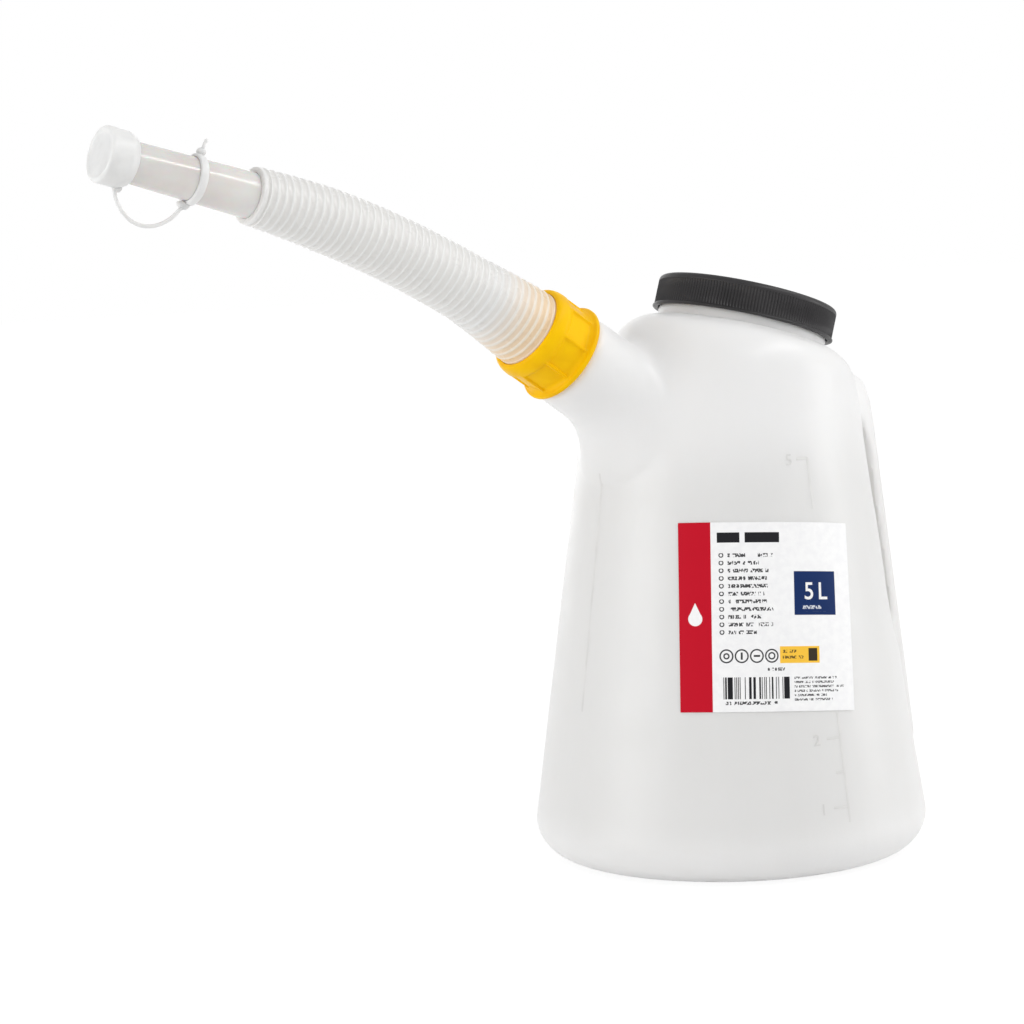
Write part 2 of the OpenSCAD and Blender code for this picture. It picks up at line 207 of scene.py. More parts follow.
def swept(name, rings, closed=True):
    """Extrudes a straight tube and moves its rings to the given points, in millimetres."""
    around = len(rings[0])
    deselect()
    bpy.ops.mesh.primitive_circle_add(vertices=around, radius=1, fill_type="NOTHING")
    piece = bpy.context.object
    piece.name = name
    edit_all()
    for _ in rings[1:]:
        bpy.ops.mesh.extrude_region_move(TRANSFORM_OT_translate={"value": (0, 0, 1)})
    if closed:
        bpy.ops.mesh.edge_face_add()
    bpy.ops.object.mode_set(mode="OBJECT")
    straight = points_of(piece) * MM
    row = np.rint(straight[:, 2]).astype(int)
    step = np.rint(np.arctan2(straight[:, 1], straight[:, 0]) / (2 * math.pi / around)).astype(int)
    if closed:
        piece.data.vertices.foreach_set("select", row == 0)
        piece.data.edges.foreach_set("select", np.zeros(len(piece.data.edges), bool))
        piece.data.polygons.foreach_set("select", np.zeros(len(piece.data.polygons), bool))
        bpy.ops.object.mode_set(mode="EDIT")
        bpy.ops.mesh.edge_face_add()
        bpy.ops.object.mode_set(mode="OBJECT")
    set_points(piece, np.array(rings)[row, step % around])
    bpy.ops.object.mode_set(mode="EDIT")
    tidy_mesh()
    return piece


def arc(x, y, r, start, end, steps):
    angles = np.radians(np.linspace(start, end, steps + 1))
    return [(x + r * math.cos(a), y + r * math.sin(a)) for a in angles]


def soften(piece, degrees=35):
    only(piece)
    bpy.ops.object.shade_smooth_by_angle(angle=math.radians(degrees))


# %% [markdown]
# ## The moulded body
# A blow-moulded jug is one skin without a sharp edge: cone, shoulder, spout horn and grip flow
# into each other. Such a form is hard to draw in one go, so the simple forms are made first, the
# voxel Remesh modifier melts them together, and the Smooth modifier rounds the lines where they
# meet, as air pressure does in the mould.

# %% Cone, foot and shoulder
cone = turned(
    "jug_shell",
    [(0, 0)] + arc(FOOT_R - FOOT_ROUND, FOOT_ROUND, FOOT_ROUND, -90, math.degrees(LEAN), 12)
    + [(side_r(SHOULDER_Z), SHOULDER_Z), (0, SHOULDER_Z)], 160)
deselect()
bpy.ops.mesh.primitive_torus_add(major_radius=42.9 * MM, minor_radius=22 * MM,
                                 major_segments=160, minor_segments=40)
shoulder = put(bpy.context.object, neck_frame() @ Matrix.Translation((0, 0, -0.026)))
body = join("jug_shell", shoulder, cone)
hull()
print("cone and shoulder:", len(body.data.vertices), "points")

# %% [markdown]
# The grip is a bar behind the body, drawn here as a hull round a few spheres. The finger hole is
# cut through it and through the back of the cone after the forms are one.

# %% Grip bar
GRIP_LEAN = math.radians(3.2)


def grip_x(z):
    return 104.5 - math.tan(GRIP_LEAN) * z


corners = [(grip_x(247) - 8, 226, 12, 8), (grip_x(247) - 11.9, 235.1, 12, 8),
           (grip_x(247) - 21, 239, 12, 8), (grip_x(247) - 40.5, 239, 12, 8),
           (grip_x(52) - 22, 52, 22, 22)]
balls = []
for x, z, half_w, r in corners:
    for side in (-1, 1):
        deselect()
        bpy.ops.mesh.primitive_uv_sphere_add(segments=32, ring_count=20, radius=r * MM,
                                             location=(x * MM, side * half_w * MM, z * MM))
        balls.append(bpy.context.object)
grip = join("grip_bar", *balls)
bpy.ops.object.transform_apply(location=True, rotation=True, scale=True)
hull()

# %% [markdown]
# The horn leads from the spout neck into the body. Its lower line bends round like the inside of
# an elbow, its upper line runs straight on, and it widens as it goes in. So each ring is an oval
# between those two lines.

# %% Spout horn
SPOUT_UP = np.array([math.sin(SPOUT_RISE), math.cos(SPOUT_RISE)])
SPOUT_IN = np.array([math.cos(SPOUT_RISE), -math.sin(SPOUT_RISE)])
SPOUT_FACE = np.array([-95.8, 263.3])
HORN_R, HORN_STRAIGHT, HORN_BEND = 24.5, 23.0, 30.0


def horn_ring(t, around=72):
    heel = SPOUT_FACE - HORN_R * SPOUT_UP + HORN_STRAIGHT * SPOUT_IN - HORN_BEND * SPOUT_UP
    turn = SPOUT_RISE + (math.pi / 2 + LEAN - SPOUT_RISE) * max(0, t - 0.2) / 0.8
    if t < 0.2:
        low = SPOUT_FACE - HORN_R * SPOUT_UP + (0.3 + (HORN_STRAIGHT - 0.3) * t / 0.2) * SPOUT_IN
    else:
        low = heel + HORN_BEND * np.array([math.sin(turn), math.cos(turn)])
    high = SPOUT_FACE + HORN_R * SPOUT_UP + (0.3 + 73.7 * t) * SPOUT_IN
    middle, reach = (low + high) / 2, (high - low) / 2
    half_w = HORN_R + 15 * t ** 1.6
    return [(middle[0] + reach[0] * math.cos(a), half_w * math.sin(a), middle[1] + reach[1] * math.cos(a))
            for a in np.linspace(0, 2 * math.pi, around, endpoint=False)]


horn = swept("spout_horn", [horn_ring(i / 24) for i in range(25)])
print("horn:", len(horn.data.polygons), "faces")

# %% [markdown]
# Remesh needs one closed solid. Its voxels are 2.5 mm here: finer than the softest edge of the
# jug, and coarse enough to keep the skin light. The finger hole and the ring under the base are
# cut between two remeshings, so that their edges come out round too. The root of the horn flows
# into the cone most softly of all, so a vertex group gives it a longer smoothing of its own.

# %% Melt the forms together
VOXEL, ROUNDING, ROOT_ROUNDING = 2.5, 11, 55
body = join("jug_shell", horn, grip, body)
modify(body, "REMESH", mode="VOXEL", voxel_size=VOXEL * MM)


def cut(piece, tool, operation="DIFFERENCE"):
    modify(piece, "BOOLEAN", operation=operation, object=tool, solver="MANIFOLD")
    bpy.data.objects.remove(tool, do_unlink=True)


slot_x, slot_z, slot_half = grip_x(164) - 25, 164.0, 44.0
ends = []
for side in (-1, 1):
    rod = turned("rod", [(0, -90), (12, -90), (12, 90), (0, 90)], 48)
    lie = Matrix.Rotation(math.pi / 2, 4, "X")
    tilt = Matrix.Rotation(-GRIP_LEAN, 4, "Y")
    place = Matrix.Translation((slot_x * MM, 0, slot_z * MM)) @ tilt
    ends.append(put(rod, place @ Matrix.Translation((0, 0, side * slot_half * MM)) @ lie))
slot = join("finger_slot", *ends)
hull()
cut(body, slot)
cut(body, turned("base_ring", [(32, -3), (37, 2), (63, 2), (68, -3), (32, -3)], 96))
modify(body, "REMESH", mode="VOXEL", voxel_size=VOXEL * MM)
modify(body, "SMOOTH", factor=0.5, iterations=ROUNDING)
from_face = (points_of(body)[:, [0, 2]] - SPOUT_FACE) @ SPOUT_IN
root = body.vertex_groups.new(name="horn_root")
for index, (x, _, z) in enumerate(points_of(body)):
    root.add([index], float(np.clip((from_face[index] - 30) / 15, 0, 1) * np.clip((-12 - x) / 15, 0, 1)
                            * np.clip((z - 140) / 20, 0, 1)), "REPLACE")
modify(body, "SMOOTH", factor=0.5, iterations=ROOT_ROUNDING, vertex_group="horn_root")
body.vertex_groups.clear()
print("skin:", len(body.data.polygons), "faces")

# %% [markdown]
# Smoothing leaves a faint ripple on the wide cone, which would show in every reflection. The cone
# and the foot are exact turned forms, so the points that lie close to them are moved onto them,
# and let go gradually where another form begins.

# %% True up the cone and the foot
def trued(points):
    r = np.hypot(points[:, 0], points[:, 1])
    z = points[:, 2]
    on_side = (z > SIDE_FOOT_Z - 1) & (z < SHOULDER_Z - 1)
    target_r = SIDE_FOOT_R - math.tan(LEAN) * (z - SIDE_FOOT_Z)
    weight = np.clip((1.0 - np.abs(r - target_r)) / 0.45, 0, 1)
    weight *= on_side * np.clip((SHOULDER_Z - 1 - z) / 8, 0, 1)
    new_r = r + weight * (target_r - r)
    dr, dz = r - (FOOT_R - FOOT_ROUND), z - FOOT_ROUND
    away = np.maximum(np.hypot(dr, dz), 1e-6)
    on_foot = (z <= SIDE_FOOT_Z) & (dr > 0) & (np.abs(away - FOOT_ROUND) < 1.4)
    new_r = np.where(on_foot, FOOT_R - FOOT_ROUND + dr / away * FOOT_ROUND, new_r)
    new_z = np.where(on_foot, FOOT_ROUND + dz / away * FOOT_ROUND, z)
    on_base = (np.abs(z) < 0.7) & (r < FOOT_R - FOOT_ROUND)
    new_z = np.where(on_base, 0, new_z)
    scale = new_r / np.maximum(r, 1e-6)
    return np.column_stack([points[:, 0] * scale, points[:, 1] * scale, new_z])


set_points(body, trued(points_of(body)))
outer_tree = BVHTree.FromPolygons([v.co.copy() for v in body.data.vertices],
                                  [tuple(p.vertices) for p in body.data.polygons])

# %% [markdown]
# The skin gets its wall with Solidify, which puts a second shell inside. The two necks are turned
# separately, because they are crisp where the body is soft, and joined on with a boolean. Two
# bores then open the jug to the inside, as a trimming tool does after moulding.

# %% Wall, necks and bores
modify(body, "SOLIDIFY", thickness=WALL * MM, offset=-1)
lip = 0.6
neck = turned("lid_neck", [
    (NECK_R - WALL - 0.6, -5.6), (NECK_R, -5.6), (NECK_R + 0.1, -1.4), (NECK_R + 0.1, -0.4),
    (NECK_R - 0.2, 0.1),
    (NECK_R - 0.2, LID_RISE - lip), (NECK_R - 0.4, LID_RISE - 0.2), (NECK_R - lip, LID_RISE),
    (NECK_R - WALL - 0.6, LID_RISE), (NECK_R - WALL - 0.6, -5.6)], 160)
cut(body, put(neck, neck_frame()), "UNION")
spout_neck = turned("spout_neck", [
    (18.4, -2), (21.5, -2), (21.5, 17.5), (21.3, 17.85), (21, 18), (18.4, 18), (18.4, -2)], 96)
cut(body, put(spout_neck, spout_frame()), "UNION")
cut(body, put(turned("bore", [(0, -12), (NECK_R - WALL, -12), (NECK_R - WALL, 20), (0, 20)], 160),
              neck_frame()))
cut(body, put(turned("bore", [(0, -9), (19, -9), (19, 24), (0, 24)], 96), spout_frame()))
soften(body, 38)
print("jug:", len(body.data.polygons), "faces")

# %% [markdown]
# Threads are helical ridges. The Screw modifier winds a small section upwards as it turns it, which
# is exactly how a thread is cut. They stay under the lid and the collar, and show when these come off.

# %% Threads
def thread(name, r, low, pitch, turns, height):
    deselect()
    bpy.ops.mesh.primitive_circle_add(vertices=6, radius=MM, fill_type="NOTHING")
    piece = bpy.context.object
    piece.name = name
    section = [(r - 0.4, -1.1), (r + 0.6 * height, -0.7), (r + height, -0.25),
               (r + height, 0.25), (r + 0.6 * height, 0.7), (r - 0.4, 1.1)]
    set_points(piece, np.array([(x, 0, low + z) for x, z in section]))
    modify(piece, "SCREW", angle=2 * math.pi * turns, screw_offset=pitch * turns * MM,
           steps=int(72 * turns), render_steps=int(72 * turns), axis="Z", use_merge_vertices=False)
    edit_all()
    bpy.ops.mesh.fill_holes(sides=0)
    tidy_mesh()
    soften(piece, 50)
    return piece


lid_thread = put(thread("lid_thread", NECK_R - 0.2, 2.6, 4.5, 1.6, 0.55), neck_frame())
spout_thread = put(thread("spout_thread", 21.5, 5.0, 3.5, 2.2, 0.3), spout_frame())

# %% [markdown]
# The mould leaves two things on the skin: a fine parting line in the jug's plane of symmetry, and
# a raised scale with numbers on the side. Both are thin ridges that follow the skin, so their
# points are found by casting rays at it.

# %% Ridges on the skin
def ridge(name, path, normals, width, height):
    """A low half-round ridge along a path of points in millimetres."""
    path, normals = np.array(path), np.array(normals)
    along = np.gradient(path, axis=0)
    along /= np.linalg.norm(along, axis=1)[:, None]
    side = np.cross(along, normals)
    side /= np.linalg.norm(side, axis=1)[:, None]
    section = [(-0.5, -0.3), (-0.5, 0.0), (-0.25, 0.75), (0.25, 0.75), (0.5, 0.0), (0.5, -0.3)]
    rings = [[p + s * u * width + n * v * height for u, v in section]
             for p, s, n in zip(path, side, normals)]
    piece = swept(name, rings)
    soften(piece, 60)
    return piece


def on_cone(azimuth, z, lift=0.0):
    a = math.radians(azimuth)
    r = side_r(z) + lift
    return (r * math.cos(a), r * math.sin(a), z)


def cone_normal(azimuth):
    a = math.radians(azimuth)
    return (math.cos(a) * math.cos(LEAN), math.sin(a) * math.cos(LEAN), math.sin(LEAN))


parting, lifts = [], []
for turn in np.linspace(-8, -212, 150):
    middle = Vector((0, 0, 0.14))
    way = Vector((-math.cos(math.radians(turn + 180)), 0, math.sin(math.radians(turn + 180))))
    hit = outer_tree.ray_cast(middle, way)
    if hit[0] is not None and 0.022 < hit[0].z < 0.205 and hit[0].x < 0:
        parting.append(np.array(hit[0]) / MM)
        lifts.append(np.array(hit[1]))
print("parting line:", len(parting), "points")

# %% [markdown]
# The scale is a long upright line with a mark for each half litre. Each full litre gets a longer
# mark, and the first, second and fifth carry their number, as measuring jugs do. Line and marks
# stop where the label lies.

# %% Scale with its numbers
SCALE_AZ = 269.0
LITRE_Z = {1: 36.0, 2: 70.0, 3: 110.0, 4: 155.0, 5: 208.0}
ridges = [ridge("parting_line", parting, lifts, 1.6, 0.05)]
for part, (low, high) in enumerate(((28, 84), (183, 208.3))):
    zs = np.linspace(low, high, 30)
    ridges.append(ridge(f"scale_line_{part}", [on_cone(SCALE_AZ, z) for z in zs],
                        [cone_normal(SCALE_AZ)] * len(zs), 1.2, 0.17))
for litre, z in LITRE_Z.items():
    for part, reach in ((0, 5.0), (0.5, 3.0)):
        tick_z = z + part * (LITRE_Z.get(litre + 1, z) - z)
        if (part and litre == 5) or 84 < tick_z < 182:
            continue
        span = np.linspace(SCALE_AZ, SCALE_AZ - reach, 9)
        ridges.append(ridge(f"mark_{litre}_{int(part * 10)}", [on_cone(a, tick_z) for a in span],
                            [cone_normal(a) for a in span], 1.2, 0.18))


def lettering(name, text, size, extrude, bolder=0.0, word_gap=1.0):
    """Flat characters as a mesh, in millimetres round the origin."""
    deselect()
    bpy.ops.object.text_add()
    characters = bpy.context.object.data
    characters.body, characters.size, characters.extrude = text, size * MM, extrude * MM
    characters.offset, characters.space_word = bolder * MM, word_gap
    characters.align_x = characters.align_y = "CENTER"
    bpy.ops.object.convert(target="MESH")
    bpy.context.object.name = name
    return bpy.context.object


def number(text, azimuth, z, size):
    """A raised number, wrapped on the cone."""
    letter = lettering(f"number_{text}", text, size, 0.06)
    flat = points_of(letter)
    wrapped = []
    for x, y, lift in flat:
        height = z + y
        wrapped.append(on_cone(azimuth + math.degrees(x / side_r(height)), height, lift + 0.09))
    set_points(letter, np.array(wrapped))
    return letter


for litre in (1, 2, 5):
    ridges.append(number(str(litre), SCALE_AZ - 8.5, LITRE_Z[litre] - 0.5, 8))

# %% [markdown]
# ## The label
# A paper label can't stretch. On a cone it lies along the cone's unrolled surface, which is why a
# rectangular label looks tilted at one side. The grid below is a flat rectangle, and each point is
# rolled onto the cone from its place in the unrolled sheet.

# %% Label sheet
LABEL_W, LABEL_H, LABEL_AZ, LABEL_TOP = 92.5, 93.5, 217.5, 179.0
LABEL_TILT, LABEL_LIFT, PRINT_LIFT = 0.024, 0.16, 0.36
CONE_TOP = SIDE_FOOT_Z + SIDE_FOOT_R / math.tan(LEAN)


def rolled(u, v, lift):
    u, v = u + LABEL_TILT * (v - LABEL_H / 2), v - LABEL_TILT * u
    out = (CONE_TOP - LABEL_TOP) / math.cos(LEAN) + v
    rho = math.hypot(out, u)
    a = math.radians(LABEL_AZ) + math.atan2(u, out) / math.sin(LEAN)
    r = rho * math.sin(LEAN) + lift
    return (r * math.cos(a), r * math.sin(a), CONE_TOP - rho * math.cos(LEAN) + lift * math.sin(LEAN))


deselect()
bpy.ops.mesh.primitive_grid_add(x_subdivisions=64, y_subdivisions=32, size=2, calc_uvs=True)
label = bpy.context.object
label.name = "front_label"
grid = points_of(label) * MM
set_points(label, np.array([rolled((x + 1) / 2 * LABEL_W, (1 - y) / 2 * LABEL_H, LABEL_LIFT)
                            for x, y, _ in grid]))
modify(label, "SOLIDIFY", thickness=0.14 * MM, offset=1)
soften(label, 40)

# %% [markdown]
# ## The screw lid
# The lid's skirt carries about 180 fine ribs between a bead at the rim and a smooth band at the
# top. The profile is turned with four steps to each rib, and every rib is then raised by moving
# the points of the skirt in and out with the angle.

# %% Lid
RIBS, RIB_DEPTH = 180, 0.55
rib_rows = [(46.8, z) for z in np.linspace(1.7, 13.3, 4)]
lid = turned("screw_lid", [
    (0, 14.7), (44.5, 14.7), (44.5, 0.3), (44.8, 0), (47.1, 0), (47.4, 0.25), (47.5, 0.6),
    (47.4, 1.0), (47.0, 1.3),
    (46.75, 1.5)] + rib_rows + [(46.75, 13.5), (46.8, 13.8)]
    + arc(44.4, 14.1, 2.4, 0, 90, 7) + [(43.4, 16.5), (42.9, 16.3), (42.4, 16.1), (36, 16.05), (0, 16.0)],
    RIBS * 4)
p = points_of(lid)
r = np.hypot(p[:, 0], p[:, 1])
phase = np.arctan2(p[:, 1], p[:, 0]) * RIBS
skirt = (p[:, 2] > 1.6) & (p[:, 2] < 13.4) & (r > 46)
factor = np.where(skirt, 1 - RIB_DEPTH * (0.5 + 0.5 * np.cos(phase)) / np.maximum(r, 1e-6), 1)
p[:, :2] *= factor[:, None]
set_points(lid, p)
put(lid, neck_frame())
soften(lid, 50)
print("lid:", len(lid.data.polygons), "faces")

# %% [markdown]
# ## The collar nut
# The nut has a flange, nine flat panels between thin ribs, and a shoulder that rounds down to the
# hose. It is turned with a fine step, and the points between two ribs are moved onto a flat.

# %% Collar nut
PANELS, RIB_AT, RIB_HALF, FLAT_R = 9, 32.0, 1.9, 22.5
collar = turned("collar_nut_dressed", [
    (21.9, 0.3), (22.2, 0), (25.3, 0), (25.8, 0.25), (26, 0.75), (26, 1.85),
    (25.8, 2.3), (25.3, 2.6), (24.4, 2.75),
    (24.05, 3.1), (24.0, 3.6), (24.0, 4.4)] + [(24.0, z) for z in np.linspace(5, 15.8, 5)] + [
    (24.0, 16.4), (24.0, 17.1), (23.95, 17.8), (23.9, 18.8), (23.85, 20.2), (23.7, 21.8),
    (23.4, 23.2), (22.95, 24.4),
    (22.5, 25.1), (22.1, 25.45), (21.6, 25.6), (20.9, 25.6), (20.5, 25.45), (20.3, 25.1), (20.3, 22.9),
    (21.9, 22.8), (21.9, 0.3)], PANELS * 36)
p = points_of(collar)
r = np.hypot(p[:, 0], p[:, 1])
angle = (np.degrees(np.arctan2(p[:, 1], p[:, 0])) - RIB_AT) % (360 / PANELS)
beside = np.minimum(angle, 360 / PANELS - angle)
flat_r = FLAT_R / np.cos(np.radians(0.62 * (180 / PANELS - beside)))
depth = np.clip((beside - RIB_HALF + 0.5) / 1.0, 0, 1) * np.maximum(r - flat_r, 0)
ends = np.clip(np.minimum((p[:, 2] - 3.2) / 0.7, (18.6 - p[:, 2]) / 2.2), 0, 1)
pressed = np.where((r > 23) & (p[:, 2] > 3) & (p[:, 2] < 18.9), depth * ends, 0)
p[:, :2] *= (1 - pressed / np.maximum(r, 1e-6))[:, None]
set_points(collar, p)
put(collar, spout_frame())
soften(collar, 45)

# %% [markdown]
# ## The corrugated hose
# The hose is a row of rings, each with a narrow crest, that taper from the collar to the nozzle.
# All rings are extruded as one straight tube, and each is moved to its place on the arc.

# %% Hose
PITCH, CREST = 4.0, 0.5
COUNT = int((HOSE_LEN - 3) // PITCH)


def hose_r(s):
    return float(np.interp(s, [0, 37, 124, 168], [20.2, 17.2, 15.8, 13.8]))


wave = [(0.0, 1.0), (0.07, 0.9), (0.15, 0.5), (0.26, 0.2), (0.42, 0.04), (0.58, 0.04), (0.74, 0.2),
        (0.85, 0.5), (0.93, 0.9)]
stations = [(-6.1, 21.3), (-3.2, 21.3), (-3.1, 19.5), (-1.0, 20.15), (-0.2, 20.15)]
for i in range(COUNT):
    stations += [((i + t) * PITCH + 0.4, hose_r(i * PITCH) - CREST * (1 - c)) for t, c in wave]
cuff = COUNT * PITCH + 0.4
stations += [(cuff, hose_r(cuff) - 0.2), (cuff + 0.5, hose_r(cuff) - 0.6), (cuff + 1.0, hose_r(cuff) - 0.4),
             (cuff + 1.4, hose_r(HOSE_LEN)), (HOSE_LEN - 0.6, hose_r(HOSE_LEN)),
             (HOSE_LEN - 0.2, hose_r(HOSE_LEN) - 0.2), (HOSE_LEN, hose_r(HOSE_LEN) - 0.6),
             (HOSE_LEN, 11.2), (HOSE_LEN - 4, 11.2)]


def ring_on(place, r, around=72):
    turns = np.linspace(0, 2 * math.pi, around, endpoint=False)
    return [np.array(place @ Vector((r * math.cos(a) * MM, r * math.sin(a) * MM, 0))) / MM for a in turns]


hose = swept("spout_hose", [ring_on(hose_frame(s), r) for s, r in stations], closed=False)
modify(hose, "SOLIDIFY", thickness=0.9 * MM, offset=-1)
soften(hose, 80)
print("hose:", COUNT, "rings,", len(hose.data.polygons), "faces")

# %% [markdown]
# ## Nozzle, cap and strap
# The nozzle is a plain tapering tube with a thin wall. The cap has a dished face inside a round
# ridge. One moulding makes the ring round the nozzle, the lug below it and the strap to the cap.

# %% Nozzle
def nozzle_r(s):
    return (22.6 + (19.0 - 22.6) * (s + 12) / 88) / 2


nozzle = turned("pour_nozzle", [
    (nozzle_r(-12), -12), (nozzle_r(75.6), 75.6), (nozzle_r(76) - 0.15, 75.9), (nozzle_r(76) - 0.5, 76),
    (nozzle_r(76) - 1.1, 76), (nozzle_r(76) - 1.3, 75.8), (nozzle_r(-12) - 1.3, -12),
    (nozzle_r(-12), -12)], 96)
put(nozzle, nozzle_frame(0))
soften(nozzle, 40)

# %% [markdown]
# The cap is turned too. Its back edge slopes in towards the nozzle, and a little hinge lug sits at
# its lowest point, where the strap comes in.

# %% Cap
CAP_AT, CAP_LEN, CAP_R = 63.0, 15.5, 13.4
cap = turned("tip_cap_dressed", [
    (0, 13.3), (nozzle_r(63) + 0.25, 13.3), (nozzle_r(63) + 0.25, 0.2), (nozzle_r(63) + 0.5, 0), (10.6, 0),
    (11.4, 0.25), (12.0, 0.9), (13.0, 3.4), (13.3, 4.1), (13.4, 5.0), (13.4, 12.4)]
    + arc(11.7, 13.8, 1.7, 5, 90, 7) + [(11.3, 15.45), (10.9, 15.2), (10.4, 14.98), (9.4, 14.86),
                                         (6, 14.8), (3, 14.78), (0, 14.78)], 96)
put(cap, nozzle_frame(CAP_AT))
soften(cap, 50)

# %% [markdown]
# The strap is a round cord of plastic. It is swept along a curve of eased points from the lug of
# the ring, down in a loop and up to the lug of the cap.

# %% Ring, lug, tail and strap
ring = turned("strap_ring", [
    (nozzle_r(29) + 0.22, 0), (nozzle_r(29) + 1.1, 0), (nozzle_r(29) + 1.6, 0.5), (nozzle_r(29) + 1.75, 1.4),
    (nozzle_r(29) + 1.75, 2.6), (nozzle_r(29) + 1.6, 3.5), (nozzle_r(29) + 1.1, 4), (nozzle_r(29) + 0.22, 4),
    (nozzle_r(29) + 0.22, 0)], 72)
put(ring, nozzle_frame(28))


def eased(points, steps):
    """A Catmull-Rom curve through the points."""
    points = [np.array(q, float) for q in points]
    ext = [2 * points[0] - points[1]] + points + [2 * points[-1] - points[-2]]
    out = []
    for a, b, c, d in zip(ext, ext[1:], ext[2:], ext[3:]):
        for t in np.linspace(0, 1, steps, endpoint=False):
            out.append(0.5 * (2 * b + (c - a) * t + (2 * a - 5 * b + 4 * c - d) * t * t
                              + (3 * b - a - 3 * c + d) * t ** 3))
    return out + [points[-1]]


def cord_along(name, points, radii, around=16):
    """A round cord through (s, down, across) points in the nozzle's frame."""
    base = nozzle_frame(0)
    path = np.array([np.array(base @ (Vector((-down, across, s)) * MM)) / MM for s, down, across in points])
    along = np.gradient(path, axis=0)
    along /= np.linalg.norm(along, axis=1)[:, None]
    side = np.cross(along, (0, 1, 0))
    side /= np.linalg.norm(side, axis=1)[:, None]
    rings = []
    for q, w, t, r in zip(path, along, side, radii):
        up = np.cross(t, w)
        rings.append([q + r * (math.cos(a) * t + math.sin(a) * up)
                      for a in np.linspace(0, 2 * math.pi, around, endpoint=False)])
    piece = swept(name, rings)
    soften(piece, 60)
    return piece


path = eased([(32.4, 12.6, 0), (33.8, 15.4, 0), (38.0, 20.8, 0), (43.6, 24.8, 0), (50.0, 26.6, 0),
              (56.5, 25.8, 0),
              (62.6, 22.0, 0), (66.4, 17.2, 0), (67.6, 13.6, 0)], 6)
n = len(path)
radii = [0.95 + 0.75 * math.exp(-((i / n) / 0.06) ** 2) + 0.2 * math.exp(-((1 - i / n) / 0.05) ** 2)
         for i in range(n)]
strap = cord_along("strap_cord", path, radii)
lug = cord_along("strap_lug", eased([(29.6, 12.0, 0), (31.4, 12.6, 0), (33.4, 12.7, 0), (35.6, 12.1, 0)], 5),
                 [1.0, 1.35, 1.6, 1.75, 1.85, 1.9, 1.9, 1.9, 1.9, 1.85, 1.8, 1.7, 1.55, 1.3, 1.0, 0.6])
tail_root = cord_along("tail_root", eased([(26.9, -12.6, 0), (28.6, -13.6, 0), (30.4, -12.6, 0)], 5),
                       [1.2, 1.5, 1.7, 1.8, 1.9, 1.9, 1.9, 1.8, 1.7, 1.5, 1.2])
tail = cord_along("tail", eased([(28.6, -13.2, 0), (28.2, -15.6, 0), (27.6, -18.2, 0), (26.9, -19.8, 0)], 4),
                  [1.1, 0.95, 0.85, 0.8, 0.75, 0.75, 0.75, 0.75, 0.78, 0.85, 0.85, 0.8, 0.6])
tether = join("cap_strap", strap, lug, tail_root, tail, ring)
cap_lug = cord_along("cap_lug", eased([(64.4, 12.6, 0), (66.4, 13.4, 0), (68.6, 12.9, 0)], 4),
                     [1.0, 1.4, 1.6, 1.7, 1.7, 1.7, 1.6, 1.4, 1.0])
print("strap:", len(tether.data.polygons), "faces")

# %% [markdown]
# All raised lines and numbers are one moulding with the jug, so they become one piece here.

# %% Join the raised marks
marks = join("moulded_marks", *ridges)
print("marks:", len(marks.data.polygons), "faces")

# %% [markdown]
# ## Coordinates for the finishes
# The label's print and the hose's crests must stay in place when a part moves, so both get a UV
# map of their own. On the label it is millimetres on the flat sheet. On the hose the first
# coordinate runs along it and the second says how close a point is to a crest.

# %% UV maps for the label and the hose
def set_uv(piece, values):
    """Writes one (u, v) pair for each point of the mesh."""
    layer = piece.data.uv_layers.active or piece.data.uv_layers.new(name="UVMap")
    corners_at = np.empty(len(piece.data.loops), int)
    piece.data.loops.foreach_get("vertex_index", corners_at)
    layer.uv.foreach_set("vector", np.array(values)[corners_at].ravel())


def unrolled(points):
    """The label's own millimetres for points on the cone: the reverse of rolled()."""
    down = (CONE_TOP - points[:, 2]) / math.cos(LEAN)
    swing = (np.arctan2(points[:, 1], points[:, 0]) - math.radians(LABEL_AZ)) % (2 * math.pi)
    swing = np.where(swing > math.pi, swing - 2 * math.pi, swing) * math.sin(LEAN)
    start = (CONE_TOP - LABEL_TOP) / math.cos(LEAN)
    u, v = down * np.sin(swing), down * np.cos(swing) - start
    return np.column_stack([u - LABEL_TILT * (v - LABEL_H / 2), v + LABEL_TILT * u])


def along_hose(points):
    """How far along the hose a point lies, and its height on the wave from 0 to 1."""
    back = np.array(spout_frame().inverted())
    local = points @ back[:3, :3].T + back[:3, 3] / MM
    x, z = local[:, 0] + HOSE_BEND_R, local[:, 2] - COLLAR_H
    s = np.arctan2(z, x) / HOSE_DROOP * HOSE_LEN
    r = np.hypot(np.hypot(x, z) - HOSE_BEND_R, local[:, 1])
    nominal = np.interp(s, [0, 37, 124, 168], [20.2, 17.2, 15.8, 13.8])
    return np.column_stack([s / HOSE_LEN, np.clip(1 - (nominal - r) / CREST, 0, 1)])


set_uv(label, unrolled(points_of(label)))
set_uv(hose, along_hose(points_of(hose)))
print("label spans", unrolled(points_of(label)).min(0).round(1), unrolled(points_of(label)).max(0).round(1))

# %% [markdown]
# ## Finishes
# A shader tree is easier to read as arithmetic than as a list of nodes. The class below wraps one
# socket, and its operators add the maths nodes, so a pattern can be written as a formula.

